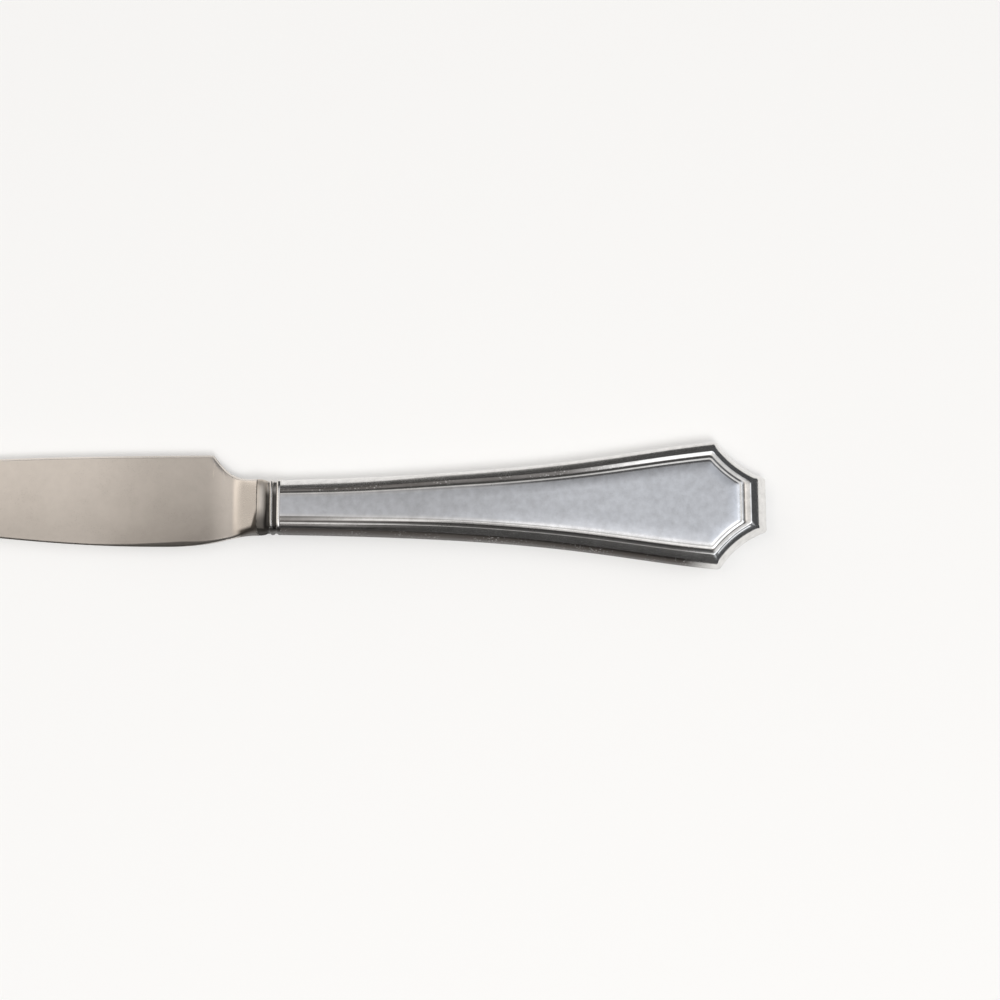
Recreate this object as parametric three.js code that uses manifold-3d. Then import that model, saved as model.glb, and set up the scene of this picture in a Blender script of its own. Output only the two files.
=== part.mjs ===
// A table knife with a hollow handle.
// The blade, its bolster and its tang are one forging. Two stamped half shells, brazed along their
// edges, make the handle. A beaded ferrule closes its mouth, and cement inside holds the tang.
// Millimetres, with the knife lying flat: +X from the tip to the butt, +Y to the spine, +Z up.

import * as THREE from "three";
import Module from "manifold-3d";
import { mergeVertices } from "three/addons/utils/BufferGeometryUtils.js";

// Blade outline: heights and depths are measured from the knife's long axis
const BLADE_LENGTH = 110.2;
const SPINE_HEIGHT = 11.4;
const SPINE_STRAIGHT = 85;
const BELLY_DEPTH = 8.5;
const BELLY_FROM_HEEL = 9.2;
const EDGE_STRAIGHT = 32.5;
const TIP_HEIGHT = 1.8;
const TIP_WIDTH = 6.4;
const TIP_ROUND = 6;
const TIP_BLUNT = 0.6;
const TIP_REACH = 60;
const TIP_TAPER = 0.05;

// Blade thickness
const SPINE_THICKNESS = 2.2;
const TIP_THICKNESS = 1.2;
const EDGE_THICKNESS = 0.5;
const HEEL_EDGE_THICKNESS = 1.7;
const HEEL_EDGE_LENGTH = 26;

// Neck and bolster, from the heel of the spine to the bolster's end face
const NECK_LENGTH = 9.7;
const NECK_CUT_RUN = 2.8;
const NECK_CUT_DROP = 3.6;
const NECK_CUT_EASE = 5.5;
const HEEL_REACH = 10.5;
const HEEL_EASE = 4.4;
const BOLSTER_RISE_LENGTH = 5.6;
const BOLSTER_FILLET_LENGTH = 1.9;
const BOLSTER_STEP = 0.12;

// Tang, from the bolster's end face into the handle
const TANG_LENGTH = 48;
const TANG_WIDTH = 6.4;
const TANG_THICKNESS = 3;
const TANG_NOTCH_DEPTH = 0.7;
const TANG_NOTCH_LENGTH = 5;
const TANG_NOTCHES = 3;
const TANG_GAP = 0.3;

// Solder ring and ferrule
const SOLDER_THICKNESS = 0.2;
const SOLDER_RECESS = 0.15;
const COLLAR_SWELL_LENGTH = 1.93;
const COLLAR_BEAD_WIDTH = 0.95;
const COLLAR_GROOVE_WIDTH = 0.53;
const COLLAR_GROOVE_DEPTH = 0.6;
const FERRULE_STEP = 0.05;
const SPIGOT_LENGTH = 3;
const SPIGOT_GAP = 0.1;

// Handle outline, from the mouth to the flat of the butt
const HANDLE_LENGTH = 104.01;
const HANDLE_THICKNESS = 8;
const MOUTH_WIDTH = 11.8;
const SHOULDER_WIDTH = 27.8;
const SHOULDER_TO_BUTT = 10.2;
const BUTT_FLAT_WIDTH = 11.6;
const NOTCH_DEPTH = 1.1;
const MOUTH_STRAIGHT = 61;
const MOUTH_FLARE = 0.02;
const SHOULDER_STRAIGHT = 23.6;
const SHOULDER_FLARE = 0.1;

// Border mouldings of a shell, from the seam up to the panel, as wide as they are at the shoulder
const SIDE_RUN = 2.45;
const SIDE_SWEEP = 65;
const BEAD_WIDTH = 1.1;
const BEAD_HEIGHT = 0.17;
const CREASE_WIDTH = 0.35;
const BEVEL_RUN = 1.8;
const BEVEL_RISE = 0.71;
const MOUTH_BORDER = 4.2;
const NOTCH_BORDER = 5;
const BUTT_BORDER = 7.7;

// Shell sheet, braze and cement
const SHELL_WALL = 0.8;
const BRAZE_THICKNESS = 0.16;
const BRAZE_RECESS = 0.05;
const CEMENT_GAP = 0.1;

// Roundness of the oval sections: 2 is an ellipse, more is squarer
const COLLAR_ROUNDNESS = 4.5;
const BLADE_ROUNDNESS = 16;
const TANG_ROUNDNESS = 8;

// Fineness of the facets
const SECTION_POINTS = 28;
const TIP_STEPS = 7;
const BLADE_STEPS = 12;
const HEEL_STEPS = 4;
const NECK_CUT_STEPS = 9;
const BOLSTER_STEPS = 7;
const SWELL_STEPS = 4;
const COLLAR_BEAD_STEPS = 6;
const FLANK_STEPS = 12;
const NOTCH_STEPS = 6;
const SIDE_STEPS = 4;
const BEAD_STEPS = 4;
const BEVEL_STEPS = 3;
const LEAST_STEP = 0.01;

// Places along X
const FERRULE_LENGTH = COLLAR_SWELL_LENGTH + 2 * COLLAR_GROOVE_WIDTH + 2 * COLLAR_BEAD_WIDTH;
const OVERALL_LENGTH =
  BLADE_LENGTH + NECK_LENGTH + SOLDER_THICKNESS + FERRULE_LENGTH + HANDLE_LENGTH;
const TIP_X = -OVERALL_LENGTH / 2;
const HEEL_X = TIP_X + BLADE_LENGTH;
const BELLY_X = HEEL_X - BELLY_FROM_HEEL;
const BOLSTER_X = HEEL_X + NECK_LENGTH;
const FERRULE_X = BOLSTER_X + SOLDER_THICKNESS;
const MOUTH_X = FERRULE_X + FERRULE_LENGTH;
const SPIGOT_X = MOUTH_X + SPIGOT_LENGTH;
const BUTT_X = MOUTH_X + HANDLE_LENGTH;
const SHOULDER_X = BUTT_X - SHOULDER_TO_BUTT;

const HALF_THICKNESS = HANDLE_THICKNESS / 2;
const HALF_BRAZE = BRAZE_THICKNESS / 2;
const SHOULDER_BORDER = SIDE_RUN + BEAD_WIDTH + CREASE_WIDTH + BEVEL_RUN;

const wasm = await Module();
wasm.setup();

// Meshes and solids

function signedVolume(points, triangles) {
  const [a, b, c] = [new THREE.Vector3(), new THREE.Vector3(), new THREE.Vector3()];
  let six = 0;
  for (const [i, j, k] of triangles) {
    a.set(...points[i]);
    b.set(...points[j]);
    c.set(...points[k]);
    six += a.dot(b.cross(c));
  }
  return six / 6;
}

// A closed mesh with its faces turned outwards
function closedGeometry(points, triangles) {
  const outwards = signedVolume(points, triangles) > 0;
  const index = triangles.flatMap(([i, j, k]) => (outwards ? [i, j, k] : [i, k, j]));
  const geometry = new THREE.BufferGeometry();
  geometry.setAttribute("position", new THREE.Float32BufferAttribute(points.flat(), 3));
  geometry.setIndex(index);
  return geometry;
}

function quad(a, b, c, d) {
  return [[a, b, c], [a, c, d]];
}

// A solid through a row of rings with equally many points. Rungs between the opposite points i and
// n - i of the first and the last ring close its ends.
function loft(rings) {
  const count = rings[0].length;
  const at = (ring, i) => ring * count + (i % count);
  const triangles = [];
  for (let ring = 0; ring + 1 < rings.length; ring += 1) {
    for (let i = 0; i < count; i += 1) {
      triangles.push(...quad(at(ring, i), at(ring, i + 1), at(ring + 1, i + 1), at(ring + 1, i)));
    }
  }
  const last = rings.length - 1;
  for (let i = 0; i < count / 2; i += 1) {
    const near = quad(at(0, count - i), at(0, count - i - 1), at(0, i + 1), at(0, i));
    const far = quad(at(last, i), at(last, i + 1), at(last, count - i - 1), at(last, count - i));
    triangles.push(...near, ...far);
  }
  const whole = triangles.filter(([a, b, c]) => a !== b && b !== c && c !== a);
  return closedGeometry(rings.flat(), whole);
}

function toSolid(geometry) {
  const bare = geometry.clone();
  bare.deleteAttribute("normal");
  bare.deleteAttribute("uv");
  const merged = mergeVertices(bare);
  const mesh = new wasm.Mesh({
    numProp: 3,
    vertProperties: new Float32Array(merged.attributes.position.array),
    triVerts: new Uint32Array(merged.index.array),
  });
  return new wasm.Manifold(mesh);
}

function toGeometry(solid) {
  const mesh = solid.getMesh();
  const geometry = new THREE.BufferGeometry();
  geometry.setAttribute("position", new THREE.Float32BufferAttribute(mesh.vertProperties, 3));
  geometry.setIndex([...mesh.triVerts]);
  return geometry;
}

// Curves and sections

function bezier(...points) {
  const [start, startHandle, endHandle, end] = points.map(([x, y]) => new THREE.Vector2(x, y));
  return new THREE.CubicBezierCurve(start, startHandle, endHandle, end);
}

// The place between low and high where a rising or falling function passes zero
function crossing(low, high, value) {
  const rising = value(high) > value(low);
  let [near, far] = [low, high];
  for (let step = 0; step < 60; step += 1) {
    const middle = (near + far) / 2;
    if (value(middle) > 0 === rising) {
      far = middle;
    } else {
      near = middle;
    }
  }
  return (near + far) / 2;
}

function paramAt(curve, x) {
  return crossing(0, 1, (t) => curve.getPoint(t).x - x);
}

function heightAt(curve, x) {
  return curve.getPoint(paramAt(curve, x)).y;
}

function slopeAt(curve, x) {
  const tangent = curve.getTangent(paramAt(curve, x));
  return tangent.y / tangent.x;
}

// An oval ring at x, whose half thickness may change from its -Y side to its +Y side
function ovalRing(x, { low, high, lowHalf, highHalf, roundness }) {
  const ring = [];
  for (let i = 0; i < SECTION_POINTS; i += 1) {
    const angle = (2 * Math.PI * i) / SECTION_POINTS;
    const across = Math.cos(angle);
    const half = THREE.MathUtils.lerp(lowHalf, highHalf, (across + 1) / 2);
    const fullness = Math.max(0, 1 - Math.abs(across) ** roundness) ** (1 / roundness);
    const y = THREE.MathUtils.lerp(low, high, (across + 1) / 2);
    ring.push([x, y, Math.sign(Math.sin(angle)) * half * fullness]);
  }
  return ring;
}

function centredRing(x, halfWidth, halfThickness, roundness) {
  const halves = { lowHalf: halfThickness, highHalf: halfThickness };
  return ovalRing(x, { low: -halfWidth, high: halfWidth, ...halves, roundness });
}

// Blade: the outline's four curves, then the sections from the tip to the bolster

const BOLSTER_HALF_WIDTH = MOUTH_WIDTH / 2;
const BOLSTER_HALF_THICKNESS = HALF_THICKNESS - BOLSTER_STEP;
const TIP_TOP = TIP_HEIGHT + TIP_WIDTH / 2;
const TIP_BOTTOM = TIP_HEIGHT - TIP_WIDTH / 2;

const spineCurve = bezier(
  [HEEL_X, SPINE_HEIGHT],
  [HEEL_X - SPINE_STRAIGHT, SPINE_HEIGHT],
  [TIP_X + TIP_REACH, TIP_TOP + TIP_REACH * TIP_TAPER],
  [TIP_X, TIP_TOP],
);
const edgeCurve = bezier(
  [BELLY_X, -BELLY_DEPTH],
  [BELLY_X - EDGE_STRAIGHT, -BELLY_DEPTH],
  [TIP_X + TIP_REACH, TIP_BOTTOM - TIP_REACH * TIP_TAPER],
  [TIP_X, TIP_BOTTOM],
);
const neckCutCurve = bezier(
  [HEEL_X, SPINE_HEIGHT],
  [HEEL_X + NECK_CUT_RUN, SPINE_HEIGHT - NECK_CUT_DROP],
  [BOLSTER_X - NECK_CUT_EASE, BOLSTER_HALF_WIDTH],
  [BOLSTER_X, BOLSTER_HALF_WIDTH],
);
const heelCurve = bezier(
  [BELLY_X, -BELLY_DEPTH],
  [BELLY_X + HEEL_REACH, -BELLY_DEPTH],
  [BOLSTER_X - HEEL_EASE, -BOLSTER_HALF_WIDTH],
  [BOLSTER_X, -BOLSTER_HALF_WIDTH],
);

// How far the bolster has risen from the blade's flat, 0 to 1: a fillet, then an even slope
function bolsterRise(x) {
  const run = x - (BOLSTER_X - BOLSTER_RISE_LENGTH);
  const full = BOLSTER_RISE_LENGTH - BOLSTER_FILLET_LENGTH / 2;
  if (run <= 0) {
    return 0;
  }
  if (run < BOLSTER_FILLET_LENGTH) {
    return (run * run) / (2 * BOLSTER_FILLET_LENGTH * full);
  }
  return (run - BOLSTER_FILLET_LENGTH / 2) / full;
}

function bladeRing(x) {
  const top = x < HEEL_X ? heightAt(spineCurve, x) : heightAt(neckCutCurve, x);
  const bottom = x < BELLY_X ? heightAt(edgeCurve, x) : heightAt(heelCurve, x);
  const fromTip = Math.min(1, (x - TIP_X) / TIP_ROUND);
  const tipRound = Math.sqrt(1 - (1 - fromTip) ** 2);
  const middle = (top + bottom) / 2;
  const half = THREE.MathUtils.lerp(TIP_BLUNT / 2, (top - bottom) / 2, tipRound);
  const alongBlade = Math.min(1, (x - TIP_X) / BLADE_LENGTH);
  const atHeel = THREE.MathUtils.smoothstep(x, HEEL_X - HEEL_EDGE_LENGTH, HEEL_X);
  const spine = THREE.MathUtils.lerp(TIP_THICKNESS, SPINE_THICKNESS, alongBlade) / 2;
  const edge = THREE.MathUtils.lerp(EDGE_THICKNESS, HEEL_EDGE_THICKNESS, atHeel) / 2;
  const rise = bolsterRise(x);
  return ovalRing(x, {
    low: middle - half,
    high: middle + half,
    lowHalf: THREE.MathUtils.lerp(edge, BOLSTER_HALF_THICKNESS, rise),
    highHalf: THREE.MathUtils.lerp(spine, BOLSTER_HALF_THICKNESS, rise),
    roundness: COLLAR_ROUNDNESS + (BLADE_ROUNDNESS - COLLAR_ROUNDNESS) * (1 - rise) ** 3,
  });
}

// The tang's rings, drawn in at its notches and grown all round by a gap
function tangRings(start, grow) {
  const pitch = TANG_LENGTH / (TANG_NOTCHES + 1);
  const end = BOLSTER_X + TANG_LENGTH + grow;
  const stations = [[start, 0]];
  for (let notch = 1; notch <= TANG_NOTCHES; notch += 1) {
    const middle = BOLSTER_X + notch * pitch;
    const half = TANG_NOTCH_LENGTH / 2;
    stations.push([middle - half, 0], [middle - half / 2, TANG_NOTCH_DEPTH]);
    stations.push([middle + half / 2, TANG_NOTCH_DEPTH], [middle + half, 0]);
  }
  stations.push([end, 0]);
  return stations.map(([x, cut]) =>
    centredRing(x, TANG_WIDTH / 2 - cut + grow, TANG_THICKNESS / 2 + grow, TANG_ROUNDNESS),
  );
}

function bladeGeometry() {
  const stations = [];
  for (let i = 0; i <= TIP_STEPS; i += 1) {
    stations.push(TIP_X + TIP_ROUND * (1 - Math.cos((Math.PI / 2) * (i / TIP_STEPS))));
  }
  const spans = [
    [TIP_X + TIP_ROUND, BELLY_X, BLADE_STEPS],
    [BELLY_X, HEEL_X, HEEL_STEPS],
    [HEEL_X, BOLSTER_X, NECK_CUT_STEPS],
    [BOLSTER_X - BOLSTER_RISE_LENGTH, BOLSTER_X, BOLSTER_STEPS],
  ];
  for (const [from, to, steps] of spans) {
    for (let i = 1; i <= steps; i += 1) {
      stations.push(THREE.MathUtils.lerp(from, to, i / steps));
    }
  }
  stations.sort((a, b) => a - b);
  const apart = stations.filter((x, i) => i === 0 || x - stations[i - 1] > LEAST_STEP);
  return loft([...apart.map(bladeRing), ...tangRings(BOLSTER_X, 0)]);
}

// Handle: a flank curve from the mouth to the shoulder, a hollow arc, and the flat of the butt

const flankCurve = bezier(
  [MOUTH_X, MOUTH_WIDTH / 2],
  [MOUTH_X + MOUTH_STRAIGHT, MOUTH_WIDTH / 2 + MOUTH_STRAIGHT * MOUTH_FLARE],
  [SHOULDER_X - SHOULDER_STRAIGHT, SHOULDER_WIDTH / 2 - SHOULDER_STRAIGHT * SHOULDER_FLARE],
  [SHOULDER_X, SHOULDER_WIDTH / 2],
);

function notchArc() {
  const shoulder = new THREE.Vector2(SHOULDER_X, SHOULDER_WIDTH / 2);
  const butt = new THREE.Vector2(BUTT_X, BUTT_FLAT_WIDTH / 2);
  const chord = butt.clone().sub(shoulder);
  const radius = chord.length() ** 2 / (8 * NOTCH_DEPTH) + NOTCH_DEPTH / 2;
  const away = new THREE.Vector2(-chord.y, chord.x).normalize();
  const middle = shoulder.add(butt).multiplyScalar(0.5);
  return { centre: middle.addScaledVector(away, radius - NOTCH_DEPTH), radius };
}

const notch = notchArc();

// The levels of the border moulding: distance in from the outline, height above the seam's plane,
// and the lean of the sheet there, from upright at the seam to flat at the panel
function mouldingLevels() {
  const creaseHeight = HALF_THICKNESS - BEVEL_RISE;
  const levels = [];
  const sideAngle = THREE.MathUtils.degToRad(SIDE_SWEEP);
  for (let i = 0; i <= SIDE_STEPS; i += 1) {
    const angle = (sideAngle * i) / SIDE_STEPS;
    const inset = (SIDE_RUN * (1 - Math.cos(angle))) / (1 - Math.cos(sideAngle));
    const rise = Math.sin(angle) / Math.sin(sideAngle);
    levels.push({ inset, height: THREE.MathUtils.lerp(HALF_BRAZE, creaseHeight, rise) });
  }
  for (let i = 1; i <= BEAD_STEPS; i += 1) {
    const angle = (Math.PI * i) / BEAD_STEPS;
    const inset = SIDE_RUN + (BEAD_WIDTH * (1 - Math.cos(angle))) / 2;
    levels.push({ inset, height: creaseHeight + BEAD_HEIGHT * Math.sin(angle) });
  }
  const bevelFoot = SIDE_RUN + BEAD_WIDTH + CREASE_WIDTH;
  for (let i = 0; i <= BEVEL_STEPS; i += 1) {
    const angle = (Math.PI / 2) * (i / BEVEL_STEPS);
    const inset = bevelFoot + BEVEL_RUN * (1 - Math.cos(angle));
    levels.push({ inset, height: creaseHeight + BEVEL_RISE * Math.sin(angle) });
  }
  let length = 0;
  levels.forEach((level, i) => {
    const before = levels[Math.max(0, i - 1)];
    length += Math.hypot(level.inset - before.inset, level.height - before.height);
    level.length = length;
  });
  return levels.map((level) => ({ ...level, lean: (Math.PI / 2) * (level.length / length) }));
}

const levels = mouldingLevels();

// The same levels, moved inwards by a thickness of sheet
function innerLevels(thickness) {
  return levels.map(({ inset, height, lean }) => ({
    inset,
    offset: thickness * Math.cos(lean),
    height: height - thickness * Math.sin(lean),
  }));
}

// Half width of the handle at x, drawn in by a level's inset, which follows the border's width,
// and by an even offset
function flankHalfWidth(x, { inset, offset = 0 }) {
  const along = (x - MOUTH_X) / (SHOULDER_X - MOUTH_X);
  const border = THREE.MathUtils.lerp(MOUTH_BORDER / SHOULDER_BORDER, 1, along);
  const slope = slopeAt(flankCurve, x);
  return heightAt(flankCurve, x) - (inset * border + offset) * Math.hypot(1, slope);
}

// A level's outline from the mouth's +Y side round the butt to its -Y side, as [x, y] points
function outline(level, mouth = MOUTH_X) {
  const { inset, offset = 0 } = level;
  const radius = notch.radius + (inset * NOTCH_BORDER) / SHOULDER_BORDER + offset;
  const buttX = BUTT_X - (inset * BUTT_BORDER) / SHOULDER_BORDER - offset;
  const { x: centreX, y: centreY } = notch.centre;
  const clearOfNotch = (x) => Math.hypot(x - centreX, flankHalfWidth(x, level) - centreY) - radius;
  const cornerX = crossing(MOUTH_X, SHOULDER_X, clearOfNotch);
  const startAngle = Math.atan2(flankHalfWidth(cornerX, level) - centreY, cornerX - centreX);
  const endAngle = -Math.acos((buttX - centreX) / radius);
  const side = [];
  for (let i = 0; i <= FLANK_STEPS; i += 1) {
    const x = THREE.MathUtils.lerp(mouth, cornerX, i / FLANK_STEPS);
    side.push([x, flankHalfWidth(x, level)]);
  }
  const sweep = THREE.MathUtils.euclideanModulo(endAngle - startAngle, 2 * Math.PI);
  for (let i = 1; i <= NOTCH_STEPS; i += 1) {
    const angle = startAngle + (sweep * i) / NOTCH_STEPS;
    side.push([centreX + radius * Math.cos(angle), centreY + radius * Math.sin(angle)]);
  }
  const mirrored = side.map(([x, y]) => [x, -y]).reverse();
  return [...side, ...mirrored];
}

// One stamped shell: the moulded sheet outside, the same sheet a wall's thickness further in,
// and the rim and the mouth between them. Side is 1 for the front and -1 for the back.
function shellGeometry(side) {
  const lift = (level) => outline(level).map(([x, y]) => [x, y, side * level.height]);
  const outer = levels.map(lift);
  const inner = innerLevels(SHELL_WALL).map(lift);
  const rows = [...outer, ...inner];
  const depth = outer.length;
  const count = outer[0].length;
  const at = (row, i) => row * count + i;
  const triangles = [];
  for (let row = 0; row + 1 < depth; row += 1) {
    for (let i = 0; i + 1 < count; i += 1) {
      const [below, above] = [at(row, i), at(row + 1, i)];
      triangles.push(...quad(below, below + 1, above + 1, above));
      const [innerBelow, innerAbove] = [at(depth + row, i), at(depth + row + 1, i)];
      triangles.push(...quad(innerBelow, innerAbove, innerAbove + 1, innerBelow + 1));
    }
    for (const i of [0, count - 1]) {
      const ends = [at(row, i), at(row + 1, i), at(depth + row + 1, i), at(depth + row, i)];
      triangles.push(...(i === 0 ? quad(...ends) : quad(...ends.reverse())));
    }
  }
  const [top, innerTop] = [depth - 1, 2 * depth - 1];
  for (let i = 0; i + 1 < count / 2; i += 1) {
    const other = count - 1 - i;
    triangles.push(...quad(at(top, i), at(top, i + 1), at(top, other - 1), at(top, other)));
    const under = [at(innerTop, i), at(innerTop, other), at(innerTop, other - 1), at(innerTop, i + 1)];
    triangles.push(...quad(...under));
  }
  for (let i = 0; i + 1 < count; i += 1) {
    triangles.push(...quad(at(0, i), at(depth, i), at(depth, i + 1), at(0, i + 1)));
  }
  triangles.push(...quad(at(top, 0), at(top, count - 1), at(innerTop, count - 1), at(innerTop, 0)));
  const whole = triangles.filter(([a, b, c]) => a !== b && b !== c && c !== a);
  return closedGeometry(rows.flat(), whole);
}

// The strip of braze that fills the seam between the rims of the two shells
function brazeGeometry() {
  const outer = outline({ inset: 0, offset: BRAZE_RECESS });
  const inner = outline({ inset: 0, offset: SHELL_WALL });
  const sections = outer.map(([x, y], i) => [
    [x, y, HALF_BRAZE],
    [...inner[i], HALF_BRAZE],
    [...inner[i], -HALF_BRAZE],
    [x, y, -HALF_BRAZE],
  ]);
  return loft(sections);
}

// The handle's section at x, inside the shells by a gap, as a ring
function innerRing(x, gap) {
  const inner = innerLevels(SHELL_WALL + gap);
  const right = inner.map((level) => [x, flankHalfWidth(x, level), level.height]);
  const left = right.map(([, y, z]) => [x, -y, z]).reverse();
  const top = [...right, ...left];
  const bottom = top.map(([, y, z]) => [x, y, -z]).reverse();
  const seam = flankHalfWidth(x, inner[0]);
  return [[x, seam, 0], ...top, [x, -seam, 0], ...bottom];
}

// Ferrule: a beaded collar in front of the shells and a spigot inside their mouth, bored for the tang

// How far the collar's surface lies under its full size, by the distance from its front face
function collarStations() {
  const stations = [];
  for (let i = 0; i <= SWELL_STEPS; i += 1) {
    const angle = (Math.PI / 2) * (i / SWELL_STEPS);
    stations.push([COLLAR_SWELL_LENGTH * Math.sin(angle), COLLAR_GROOVE_DEPTH * (1 - Math.cos(angle))]);
  }
  const pitch = COLLAR_GROOVE_WIDTH + COLLAR_BEAD_WIDTH;
  for (const beadIndex of [0, 1]) {
    const start = COLLAR_SWELL_LENGTH + COLLAR_GROOVE_WIDTH + beadIndex * pitch;
    for (let i = 0; i <= COLLAR_BEAD_STEPS; i += 1) {
      const angle = (Math.PI * i) / COLLAR_BEAD_STEPS;
      const along = start + (COLLAR_BEAD_WIDTH * (1 - Math.cos(angle))) / 2;
      stations.push([along, COLLAR_GROOVE_DEPTH * (1 - Math.sin(angle))]);
    }
  }
  return stations;
}

// The space round the tang, from just in front of the bolster's end face
function tangBore() {
  return toSolid(loft(tangRings(BOLSTER_X - TANG_GAP, TANG_GAP)));
}

function ferruleGeometry() {
  const halfWidth = MOUTH_WIDTH / 2 - FERRULE_STEP;
  const halfThickness = HALF_THICKNESS - FERRULE_STEP;
  const rings = collarStations().map(([along, under]) =>
    centredRing(FERRULE_X + along, halfWidth - under, halfThickness - under, COLLAR_ROUNDNESS),
  );
  const collar = toSolid(loft(rings));
  const rooted = MOUTH_X - COLLAR_BEAD_WIDTH;
  const spigotRings = [rooted, MOUTH_X, SPIGOT_X].map((x) => {
    const ring = innerRing(Math.max(x, MOUTH_X), SPIGOT_GAP);
    return ring.map(([, y, z]) => [x, y, z]);
  });
  const spigot = toSolid(loft(spigotRings));
  return toGeometry(collar.add(spigot).subtract(tangBore()));
}

function solderGeometry() {
  const halfWidth = MOUTH_WIDTH / 2 - FERRULE_STEP - SOLDER_RECESS;
  const halfThickness = HALF_THICKNESS - FERRULE_STEP - SOLDER_RECESS;
  const rings = [BOLSTER_X, FERRULE_X].map((x) =>
    centredRing(x, halfWidth, halfThickness, COLLAR_ROUNDNESS),
  );
  return toGeometry(toSolid(loft(rings)).subtract(tangBore()));
}

// The cement core: it fills the shells from the spigot to the butt, round the tang
function cementGeometry() {
  const mouth = SPIGOT_X + CEMENT_GAP;
  const upper = innerLevels(SHELL_WALL + CEMENT_GAP);
  const raise = (side) => (level) =>
    outline(level, mouth).map(([x, y]) => [x, y, side * level.height]);
  const rows = [...upper.map(raise(-1)).reverse(), ...upper.map(raise(1))];
  const count = rows[0].length;
  const at = (row, i) => row * count + (i % count);
  const triangles = [];
  for (let row = 0; row + 1 < rows.length; row += 1) {
    for (let i = 0; i < count; i += 1) {
      triangles.push(...quad(at(row, i), at(row, i + 1), at(row + 1, i + 1), at(row + 1, i)));
    }
  }
  const top = rows.length - 1;
  for (let i = 0; i + 1 < count / 2; i += 1) {
    const other = count - 1 - i;
    triangles.push(...quad(at(top, i), at(top, i + 1), at(top, other - 1), at(top, other)));
    triangles.push(...quad(at(0, i), at(0, other), at(0, other - 1), at(0, i + 1)));
  }
  const whole = triangles.filter(([a, b, c]) => a !== b && b !== c && c !== a);
  return toGeometry(toSolid(closedGeometry(rows.flat(), whole)).subtract(tangBore()));
}

// Materials and assembly

function metal(color, roughness) {
  return new THREE.MeshStandardMaterial({ color, roughness, metalness: 1 });
}

const bladeSteel = metal(0xb4aaa2, 0.36);
const handleSteel = metal(0xb6b8bd, 0.28);
const collarSteel = metal(0xbab6b0, 0.22);
const solder = metal(0x6f6a64, 0.55);
const braze = metal(0xb39a6a, 0.45);
const cement = new THREE.MeshStandardMaterial({ color: 0x9a948a, roughness: 0.95, metalness: 0 });

function piece(name, geometry, material) {
  const mesh = new THREE.Mesh(geometry, material);
  mesh.name = name;
  return mesh;
}

const knife = new THREE.Group();
knife.position.z = HALF_THICKNESS;
knife.add(
  piece("blade", bladeGeometry(), bladeSteel),
  piece("bolster_solder", solderGeometry(), solder),
  piece("ferrule", ferruleGeometry(), collarSteel),
  piece("front_shell", shellGeometry(1), handleSteel),
  piece("back_shell", shellGeometry(-1), handleSteel.clone()),
  piece("seam_braze", brazeGeometry(), braze),
  piece("cement_filler", cementGeometry(), cement),
);

const onTable = new THREE.Group();
onTable.add(knife);

export default onTable;
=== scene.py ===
import math
from typing import NamedTuple

import bmesh
import bpy
import numpy as np
from mathutils import Matrix, Vector


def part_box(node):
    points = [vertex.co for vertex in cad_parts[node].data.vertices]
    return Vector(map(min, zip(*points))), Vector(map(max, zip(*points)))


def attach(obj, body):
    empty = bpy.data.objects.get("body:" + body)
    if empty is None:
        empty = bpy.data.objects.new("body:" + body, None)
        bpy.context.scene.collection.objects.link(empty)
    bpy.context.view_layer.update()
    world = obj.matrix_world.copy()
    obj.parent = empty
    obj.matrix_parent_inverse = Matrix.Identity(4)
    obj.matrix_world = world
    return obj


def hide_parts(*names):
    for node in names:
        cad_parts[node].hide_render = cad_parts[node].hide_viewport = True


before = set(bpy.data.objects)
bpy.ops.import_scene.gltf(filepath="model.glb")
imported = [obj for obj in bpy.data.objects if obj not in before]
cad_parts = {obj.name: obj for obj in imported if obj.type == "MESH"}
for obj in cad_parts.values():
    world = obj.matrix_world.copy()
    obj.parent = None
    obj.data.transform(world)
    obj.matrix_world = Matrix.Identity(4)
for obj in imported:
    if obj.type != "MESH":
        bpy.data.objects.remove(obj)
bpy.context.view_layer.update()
scene = bpy.context.scene

# Blade, neck and bolster: one forging in stainless steel, ground flat and finished to a satin.
# Its warm tint is painted reflection of warm light.
# The neck is cut in from the spine and swells to the collar's oval.
# The notched tang behind the bolster is held in the handle by cement.
blade_low, blade_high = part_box("blade")
shell_low, shell_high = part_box("front_shell")
bolster_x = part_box("bolster_solder")[0].x
tip_x = blade_low.x
mouth_x = shell_low.x
seam_z = shell_high.z / 2
mouth_half_width = 0.0059
neck_length = 0.0097
heel_x = bolster_x - neck_length
belly_to_heel = 0.0092
belly_x = heel_x - belly_to_heel
spine_y = blade_high.y
belly_y = blade_low.y
tip_middle_y = 0.0018
tip_half_height = 0.0032
tip_reach = 0.06
tip_taper = 0.05
tip_round = 0.006
tip_blunt = 0.0003
spine_straight = 0.085
edge_straight = 0.0325
neck_cut_run = 0.0028
neck_cut_drop = 0.0036
neck_cut_ease = 0.0055
heel_reach = 0.0105
heel_ease = 0.0044
spine_half_thickness = 0.0011
tip_half_thickness = 0.0006
edge_half_thickness = 0.00025
heel_edge_half_thickness = 0.00085
heel_edge_length = 0.026
bolster_recess = 0.00012
bolster_half_thickness = seam_z - bolster_recess
bolster_rise_length = 0.0056
bolster_fillet_length = 0.0026
spine_chamfer_share = 0.75
spine_chamfer_slope = math.tan(math.radians(52))
spine_chamfer_ease = 0.00005
edge_chamfer_height = 0.00028
edge_chamfer_swell = 0.0005
edge_chamfer_swell_length = 0.007
edge_chamfer_slope = math.tan(math.radians(36))
edge_chamfer_ease = 0.0001
least_edge_wall = 0.00004
neck_ease_width = 0.0018
neck_ease_depth = 0.0005
neck_ease_lead = 0.0008
neck_ease_start = 0.0012
neck_ease_length = 0.0045
least_eased_height = 0.00002
least_height = 0.000001
collar_roundness = 4.5
tang_roundness = 8
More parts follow.
